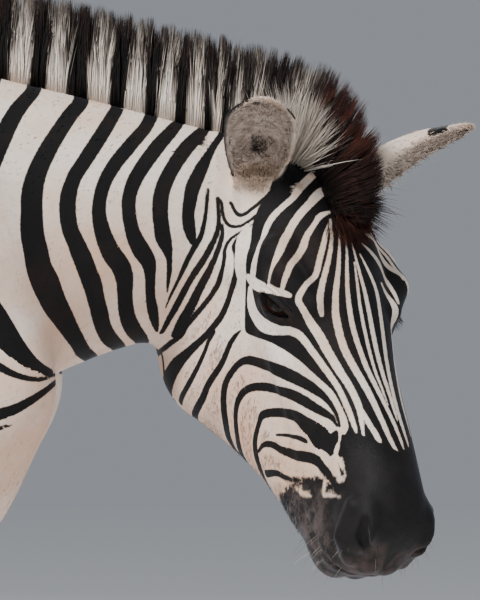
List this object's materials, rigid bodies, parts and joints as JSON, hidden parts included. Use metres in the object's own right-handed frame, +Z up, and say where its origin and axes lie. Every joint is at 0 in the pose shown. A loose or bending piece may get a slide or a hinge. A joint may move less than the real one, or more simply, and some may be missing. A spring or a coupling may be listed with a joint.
{
  "type": "zebra",
  "caption": "Plains zebra standing square at life size, neck level, head hanging and turned to its right, with an upright mane, cupped ears and a tufted tail.",
  "frame": {"origin": "centre of the bounding box's base, level with the soles of the hooves", "axes": "+X towards the chest, +Y to the animal's left, +Z up"},
  "size_m": [1.9942, 0.5326, 1.3649],
  "materials": {
    "coat": "short flat hair, black and creamy stripes",
    "mane": "coarse upright hair",
    "horn": "dull dark horn",
    "eye": "wet dark brown"
  },
  "bodies": {
    "root": {"trunk": "coat", "head": "coat", "eye_left": "eye", "eye_right": "eye", "neck": "coat", "ear_left": "coat", "ear_right": "coat", "mane": "mane", "foreleg_left_upper": "coat", "foreleg_left_lower": "coat", "hoof_fore_left": "horn", "foreleg_right_upper": "coat", "foreleg_right_lower": "coat", "hoof_fore_right": "horn", "hindleg_left_upper": "coat", "hindleg_left_lower": "coat", "hoof_hind_left": "horn", "hindleg_right_upper": "coat", "hindleg_right_lower": "coat", "hoof_hind_right": "horn", "tail": "coat", "tail_tuft": "mane"}
  },
  "joints": []
}
